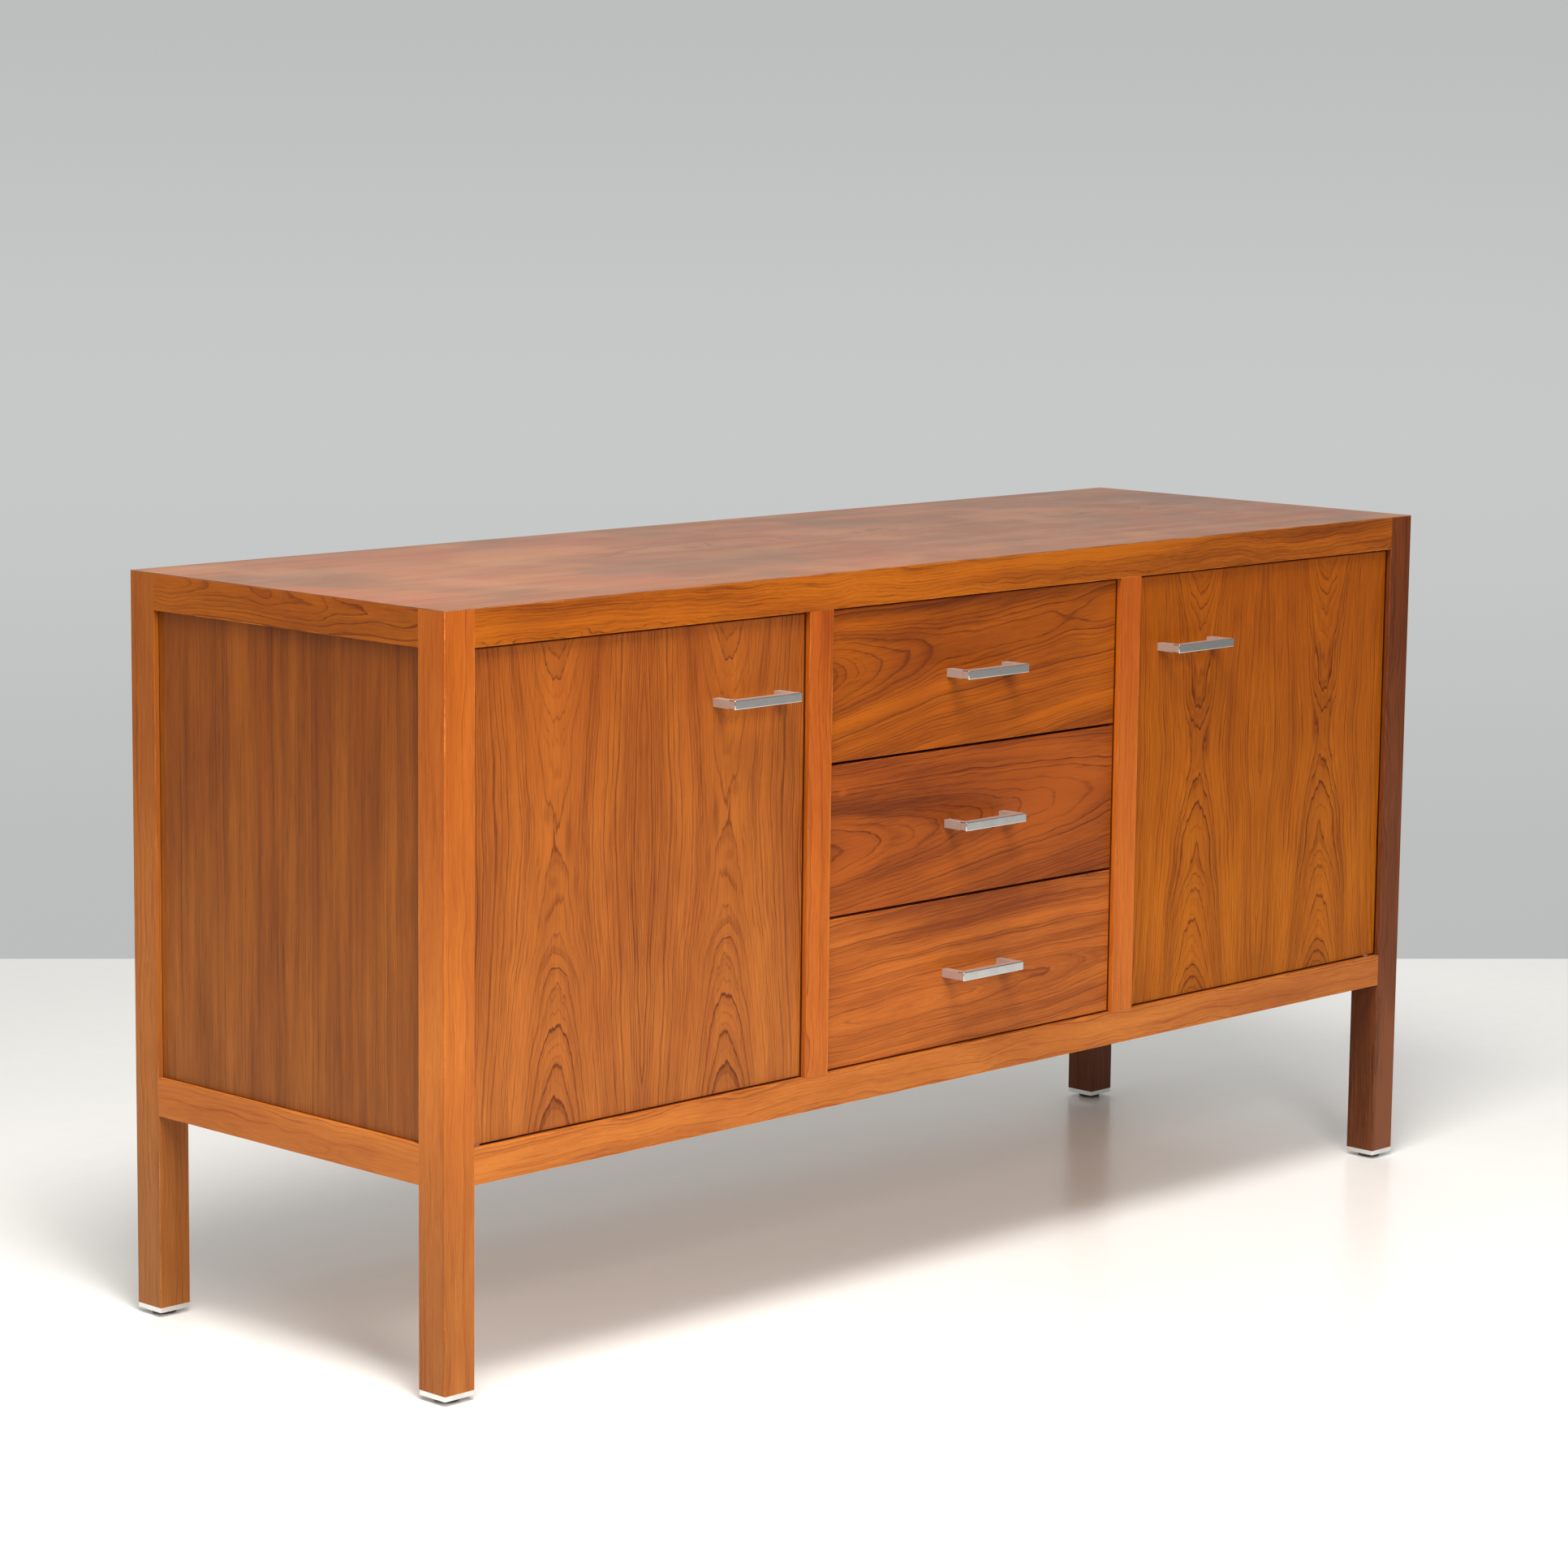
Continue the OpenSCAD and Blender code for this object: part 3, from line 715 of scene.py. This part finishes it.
def plated_material(name, base, rough, brushed, metallic=1.0):
    """Plated metal: softly worn, with fine rubbed lines along `brushed`, smudges and tiny pits."""
    material, graph = new_material(name)
    coordinates = graph.node("ShaderNodeTexCoord")
    place = Signal(graph, coordinates.outputs["Object"])
    stretch = [1.0, 1.0, 1.0]
    stretch["xyz".index(brushed)] = BRUSHED_STRETCH
    stretched = graph.vector(*[part * share for part, share in zip(graph.parts(place), stretch)])
    lines = graph.noise(stretched, BRUSHED_SCALE, 2.0)
    smudges = graph.noise(place, SMUDGE_SCALE, 4.0, 0.6)
    pits = graph.noise(place, PIT_SCALE, 1.0).step(*PIT_EDGE)
    colour = graph.mix(((smudges + 0.35) * 0.5).clamped(), rgba(base), shaded(base, SMUDGE_SHADE))
    colour = graph.mix(pits * 0.5, colour, shaded(base, PIT_SHADE))
    roughness = rough + lines * BRUSHED_ROUGHNESS + smudges * SMUDGE_ROUGHNESS + pits * PIT_ROUGHNESS
    shader = new_shader(graph, colour, roughness)
    shader.inputs["Metallic"].default_value = metallic
    add_bump(graph, shader, lines * BRUSHED_HEIGHT - pits, *METAL_BUMP)
    return material


def plastic_material(name, base, rough):
    """Moulded plastic with a fine grain and scuffs."""
    material, graph = new_material(name)
    coordinates = graph.node("ShaderNodeTexCoord")
    place = Signal(graph, coordinates.outputs["Object"])
    grain = graph.noise(place, GRAIN_SCALE, 2.0)
    scuffs = graph.noise(place, SCUFF_SCALE, 4.0, 0.65)
    colour = graph.mix((scuffs * SCUFF_COVER).clamped(), rgba(base), paler(base, SCUFF_PALENESS))
    shader = new_shader(graph, colour, rough + scuffs * SCUFF_ROUGHNESS + grain * GRAIN_ROUGHNESS)
    add_bump(graph, shader, grain, *PLASTIC_BUMP)
    return material


def eased_block(build, low, high, ease, front):
    """Adds a block with rounded edges to a mesh that is being built.

    The faces that look to the front and the rounded edges get the material `front`, the rest satin.
    """
    before = set(build.faces)
    made = bmesh.ops.create_cube(build, size=1.0)["verts"]
    bmesh.ops.scale(build, vec=high - low, verts=made)
    bmesh.ops.translate(build, vec=(low + high) / 2, verts=made)
    edges = {edge for vertex in made for edge in vertex.link_edges}
    bmesh.ops.bevel(build, geom=list(edges), offset=ease, segments=EDGE_SEGMENTS, profile=0.5,
                    affect="EDGES")
    build.normal_update()
    for face in set(build.faces) - before:
        flat = max(abs(value) for value in face.normal) > FLAT_FACE
        to_front = face.normal.y < FRONT_FACE
        face.smooth = not flat
        face.material_index = SATIN if flat and not to_front else front


def make_pull(node, body, polished, satin):
    """A square rod on two square legs, with a fine seam where they meet."""
    low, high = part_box(node)
    low = Vector(low)
    high = Vector(high)
    rod = high.z - low.z
    build = bmesh.new()
    eased_block(build, low, Vector((high.x, low.y + rod, high.z)), PULL_EASE, POLISHED)
    for left in (low.x, high.x - rod):
        foot = Vector((left + PULL_SEAM, low.y + rod - PULL_SEAM, low.z + PULL_SEAM))
        top = Vector((left + rod - PULL_SEAM, high.y, high.z - PULL_SEAM))
        eased_block(build, foot, top, PULL_SEAM, SATIN)
    mesh = bpy.data.meshes.new(f"{node}_rod")
    build.to_mesh(mesh)
    build.free()
    mesh.materials.append(polished)
    mesh.materials.append(satin)
    piece = bpy.data.objects.new(f"{node}_rod", mesh)
    bpy.context.scene.collection.objects.link(piece)
    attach(piece, body)
    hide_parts(node)


def dress(node, material):
    """Gives a CAD node its material."""
    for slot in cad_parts[node].material_slots:
        slot.material = material


# ---------------------------------------------------------------- which wood each piece is cut from

DOOR_SPOTS = ((-6.0, -16.0, 32.0, 6.0, 0.35), (20.0, 12.0, 14.0, 8.0, 0.25), (-48.0, 4.0, 10.0, 9.0, 0.2))
MIDDLE_SPOTS = ((-120.0, 38.0, 190.0, 46.0, 0.32), (-206.0, 60.0, 9.0, 6.0, -0.5),
                (150.0, 10.0, 130.0, 90.0, -0.18))
# Painted light: a paler left end of the top.
TOP_PAINTED_LIGHT = ((-620.0, -40.0, 320.0, 280.0, -0.28),)
# Painted shade on the side of the front left leg.
LEG_SIDE_PAINTED_SHADE = ((-300.0, -49.0, 260.0, 14.0, 0.22),)
# Painted light on the front of the front right leg, painted shade on its side, and a darker upper post.
FRONT_RIGHT_LIGHT_AND_SHADE = ((-330.0, 44.0, 200.0, 46.0, -0.6), (-330.0, 0.0, 260.0, 15.0, 0.6),
              (150.0, 25.0, 430.0, 400.0, 0.36))
RAIL_SPOTS = ((560.0, 0.0, 480.0, 90.0, 0.26),)
# Painted shadow of the top rail along the top of the upper drawer.
UPPER_RAIL_SHADOW = ((80.0, 50.0, 290.0, 42.0, 0.40),)
LOWER_SPOTS = ((110.0, 108.0, 300.0, 75.0, 0.50),)

WOODS = {
    "post_front_left": (POST_TONE, Figure(
        aside=30, deep=60, ring=4, rings=0.25, bands=0.3, spots=LEG_SIDE_PAINTED_SHADE)),
    "post_front_right": (FRONT_RIGHT_TONE, Figure(
        aside=-25, deep=70, ring=4, rings=0.3, bands=0.4, spots=FRONT_RIGHT_LIGHT_AND_SHADE)),
    "post_back_left": (BACK_POST_TONE, Figure(aside=40, deep=40, ring=4, rings=0.3, bands=0.4)),
    "post_back_right": (DARK_POST_TONE, Figure(aside=20, deep=50, ring=4, rings=0.3, bands=0.4)),
    "rail_front_top": (RAIL_TONE, Figure(
        aside=-8, deep=26, bow=-12, ring=3.4, wander=4, rings=0.75, hairs=0.5, bands=0.8, clouds=0.7,
        spots=RAIL_SPOTS, seams=True)),
    "rail_front_bottom": (POST_TONE, Figure(
        aside=6, deep=34, bow=12, ring=4.2, wander=3.5, rings=0.6, hairs=0.4, clouds=0.7, seams=True)),
    "rail_back_top": (RAIL_TONE, Figure(aside=4, deep=30, ring=3.6, seams=True)),
    "rail_back_bottom": (RAIL_TONE, Figure(aside=-6, deep=44, ring=3.6, seams=True)),
    "rail_left_top": (RAIL_TONE, Figure(
        aside=12, deep=30, slope=-35, ring=4, wander=3.5, rings=0.5, hairs=0.3, bands=0.7, seams=True)),
    "rail_left_bottom": (POST_TONE, Figure(aside=-12, deep=36, ring=4, wander=3, seams=True)),
    "rail_right_top": (RAIL_TONE, Figure(aside=-5, deep=32, ring=3.8, wander=4, seams=True)),
    "rail_right_bottom": (RAIL_TONE, Figure(aside=8, deep=28, ring=3.8, seams=True)),
    "mullion_left": (MULLION_TONE, Figure(aside=16, deep=30, ring=3.6, rings=0.35, seams=True)),
    "mullion_right": (MULLION_TONE, Figure(aside=-10, deep=26, ring=4, rings=0.3, seams=True)),
    "side_panel_left": (SIDE_TONE, Figure(
        aside=-420, deep=30, ring=3.2, wander=1.4, rings=0.4, bands=0.6, border=6)),
    "side_panel_right": (SIDE_TONE, Figure(
        aside=430, deep=30, ring=3.2, wander=1.4, rings=0.4, bands=0.6, border=6)),
    "back_panel": (SIDE_TONE, Figure(aside=60, deep=70, bow=30, ring=5, wander=2.5, border=6)),
    "top_veneer": (TOP_TONE, Figure(
        aside=40, deep=120, bow=20, ring=5, rings=0.35, hairs=0.2, bands=0.45, clouds=0.5, flush=0.9,
        stains=0.65, spots=TOP_PAINTED_LIGHT, worn_and_highlit_ends=True)),
    "left_door": (LEFT_DOOR_TONE, Figure(
        grain="z", leaves=118, deep=84, start=52, roof=-66, bow=-130, ring=2.8, hairs=0.44, bands=0.28,
        clouds=0.4, flush=0.35, spots=DOOR_SPOTS, worn_and_highlit_ends=True)),
    "right_door": (RIGHT_DOOR_TONE, Figure(
        grain="z", leaves=116, deep=84, start=48, roof=-66, bow=-130, ring=2.8, hairs=0.44, bands=0.3,
        clouds=0.4, flush=0.35, spots=DOOR_SPOTS, worn_and_highlit_ends=True)),
    "upper_drawer_front": (UPPER_TONE, Figure(
        grain="x", across="z", aside=23, lean=0.10, deep=60, start=-80, slope=80, roof=-80, ring=3.6,
        wander=1.8, rings=0.6, bands=0.75, spots=UPPER_RAIL_SHADOW, worn_and_highlit_ends=True)),
    "middle_drawer_front": (MIDDLE_TONE, Figure(
        grain="x", across="z", aside=2, lean=0.06, deep=62, slope=62, ring=3.2, wander=2.2, rings=0.6,
        bands=0.75, spots=MIDDLE_SPOTS, worn_and_highlit_ends=True)),
    "lower_drawer_front": (LOWER_TONE, Figure(
        grain="x", across="z", aside=-28, lean=0.04, deep=15, start=-90, roof=50, ring=3.4, wander=2.6,
        rings=0.7, bands=0.75, spots=LOWER_SPOTS, worn_and_highlit_ends=True)),
}

FRONT_TO_BACK = Figure(grain="y", across="z", rings=0.25, bands=0.3)
SIDE_TO_SIDE = Figure(grain="x", across="z", rings=0.25, bands=0.3)
FLAT_SHEET = Figure(grain="x", across="y", rings=0.3, bands=0.3)

PLAIN_WOODS = {
    "partition_left": (INNER_TONE, Figure(grain="z")),
    "partition_right": (INNER_TONE, Figure(grain="z")),
    "top_board": (INNER_TONE, Figure()),
    "bottom_panel": (INNER_TONE, Figure(deep=90)),
    "shelf_left": (INNER_TONE, Figure(grain="x", across="y", deep=80)),
    "shelf_right": (INNER_TONE, Figure(grain="x", across="y", deep=70, aside=40)),
    "drawer_runners": (RUNNER_TONE, FRONT_TO_BACK),
}
for drawer in ("upper", "middle", "lower"):
    PLAIN_WOODS[f"{drawer}_drawer_sides"] = (BOX_TONE, FRONT_TO_BACK)
    PLAIN_WOODS[f"{drawer}_drawer_back"] = (BOX_TONE, SIDE_TO_SIDE)
    PLAIN_WOODS[f"{drawer}_drawer_floor"] = (BOX_TONE, FLAT_SHEET)


def dress_woods():
    group_tree = figure_group()
    for seed, (node, (tone, figure)) in enumerate({**WOODS, **PLAIN_WOODS}.items()):
        dress(node, wood_material(group_tree, node, tone, figure, seed + 1.0))


def dress_small_parts():
    polished = plated_material("pull_metal", (0.70, 0.69, 0.67), 0.13, "x")
    satin = plated_material("pull_satin", (0.56, 0.47, 0.42), 0.34, "y", 0.6)
    foot = plated_material("foot_metal", (0.82, 0.82, 0.80), 0.20, "x")
    steel = plated_material("zinc_steel", (0.52, 0.52, 0.51), 0.38, "z")
    brown = plastic_material("catch_plastic", (0.09, 0.055, 0.035), 0.45)
    dark = plastic_material("glide_plastic", (0.05, 0.05, 0.052), 0.5)
    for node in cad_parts:
        if node.endswith("_pull"):
            make_pull(node, node.removesuffix("_pull"), polished, satin)
        elif node.endswith(("_screws", "_leaves", "_strike")) or node.startswith("hinge_"):
            dress(node, steel)
    dress("foot_plates", foot)
    dress("foot_glides", dark)
    dress("shelf_pins", steel)
    dress("door_catches", brown)


# ---------------------------------------------------------------- floor, light and camera


def floor_mesh():
    """A flat floor that stops FLOOR_END metres in front of the camera, where the backdrop begins."""
    turn = math.radians(FLOOR_END_AZIMUTH)
    ahead = Vector((-math.sin(turn), math.cos(turn), 0.0))
    aside = Vector((ahead.y, -ahead.x, 0.0))
    foot = Vector((CAMERA_PLACE[0], CAMERA_PLACE[1], 0.0))
    far = foot + ahead * FLOOR_END
    near = foot - ahead * FLOOR_REACH
    corners = [near - aside * FLOOR_REACH, near + aside * FLOOR_REACH,
               far + aside * FLOOR_REACH, far - aside * FLOOR_REACH]
    mesh = bpy.data.meshes.new("floor")
    mesh.from_pydata([tuple(corner) for corner in corners], [], [(0, 1, 2, 3)])
    return mesh


def floor_material():
    """Pale and a little glossy, with faint clouds, and darker far away, a painted falloff of light."""
    material, graph = new_material("floor")
    coordinates = graph.node("ShaderNodeTexCoord")
    place = Signal(graph, coordinates.outputs["Object"])
    x, y = graph.parts(place)[:2]
    clouds = graph.noise(place, FLOOR_CLOUD_SCALE, 3.0)
    grit = graph.noise(place, FLOOR_GRIT_SCALE, 4.0, 0.6)
    colour = graph.mix((clouds + 0.5).clamped(), rgba(FLOOR_COLOUR), shaded(FLOOR_COLOUR, FLOOR_GREY_SHARE))
    # Painted falloff of light: the floor darkens far from the piece.
    away = (x * x + y * y).root().step(*FLOOR_FAR_SHADE_EDGE)
    colour = graph.mix(away, colour, rgba(FLOOR_FAR_SHADE_COLOUR))
    shader = new_shader(graph, colour, FLOOR_ROUGHNESS + clouds * 0.05 + grit * 0.04)
    shader.inputs["Specular IOR Level"].default_value = FLOOR_SPECULAR
    return material


def make_floor():
    floor = bpy.data.objects.new("floor", floor_mesh())
    bpy.context.scene.collection.objects.link(floor)
    floor.data.materials.append(floor_material())


def make_softbox(name, place, aim, size, power, colour=WARM_WHITE, mirrored=True):
    """A square area light at `place` that looks at `aim`, and that glossy surfaces may mirror."""
    data = bpy.data.lights.new(name, "AREA")
    data.shape = "SQUARE"
    data.size = size
    data.energy = power
    data.color = colour
    light = bpy.data.objects.new(name, data)
    light.location = place
    light.rotation_euler = (Vector(aim) - Vector(place)).to_track_quat("-Z", "Y").to_euler()
    light.visible_glossy = mirrored
    bpy.context.scene.collection.objects.link(light)


def make_sun(name, turn, strength, spread):
    """A wide, soft, even light over the whole floor."""
    data = bpy.data.lights.new(name, "SUN")
    data.energy = strength
    data.angle = math.radians(spread)
    light = bpy.data.objects.new(name, data)
    light.rotation_euler = [math.radians(value) for value in turn]
    bpy.context.scene.collection.objects.link(light)


def make_room():
    """The light of the room: pale round the back, and dimmer towards the front right."""
    world = bpy.data.worlds.new("room")
    bpy.context.scene.world = world
    world.use_nodes = True
    world.node_tree.nodes.clear()
    graph = Graph(world.node_tree)
    coordinates = graph.node("ShaderNodeTexCoord")
    x, y, z = graph.parts(Signal(graph, coordinates.outputs["Generated"]))
    towards_back = y * ROOM_BACK[1] + x * ROOM_BACK[0]
    background = graph.node("ShaderNodeBackground")
    glow = abs(z - ROOM_GLOW_HEIGHT).fade(0.0, ROOM_GLOW_REACH)
    colour = graph.mix(glow, rgba(ROOM_COLOUR), rgba(ROOM_GLOW_COLOUR))
    colour = graph.mix(towards_back.step(*ROOM_DIM_EDGE), rgba(ROOM_DIM_COLOUR), colour)
    graph.feed(background.inputs["Color"], colour)
    out = graph.node("ShaderNodeOutputWorld")
    graph.feed(out.inputs["Surface"], Signal(graph, background.outputs["Background"]))


def make_light():
    bpy.context.scene.view_settings.view_transform = "Standard"
    make_room()
    make_softbox("overhead", place=(-1.2, -1.0, 3.0), aim=(-0.5, -0.7, 0.0), size=1.2, power=115.0)
    make_softbox("front", place=(-1.9, -3.4, 2.3), aim=(-0.2, 0.0, 0.3), size=1.0, power=72.0)
    make_softbox("left", place=(-3.6, 0.6, 1.7), aim=(-0.7, 0.0, 0.4), size=2.4, power=8.0)
    make_softbox("behind", place=(2.6, 1.9, 2.2), aim=(0.5, 0.2, 0.0), size=1.6, power=18.0,
                 colour=WHITE, mirrored=False)
    make_sun("fill", turn=(35.0, 0.0, -40.0), strength=0.50, spread=50.0)


def make_camera():
    data = bpy.data.cameras.new("camera")
    data.sensor_width = CAMERA_SENSOR_MM
    data.lens = CAMERA_LENS_MM
    camera = bpy.data.objects.new("camera", data)
    turn = Euler((math.radians(90.0 - CAMERA_ELEVATION), 0.0, math.radians(CAMERA_AZIMUTH)), "XYZ")
    roll = Matrix.Rotation(math.radians(CAMERA_ROLL), 4, "Z")
    camera.matrix_world = Matrix.Translation(CAMERA_PLACE) @ turn.to_matrix().to_4x4() @ roll
    bpy.context.scene.collection.objects.link(camera)
    bpy.context.scene.camera = camera


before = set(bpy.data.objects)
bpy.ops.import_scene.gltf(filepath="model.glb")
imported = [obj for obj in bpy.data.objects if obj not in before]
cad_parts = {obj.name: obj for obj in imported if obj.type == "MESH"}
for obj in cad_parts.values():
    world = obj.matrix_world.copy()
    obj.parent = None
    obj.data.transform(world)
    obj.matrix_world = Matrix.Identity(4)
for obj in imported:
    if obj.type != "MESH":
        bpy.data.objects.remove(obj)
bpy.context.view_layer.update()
dress_woods()
dress_small_parts()
make_floor()
make_light()
make_camera()
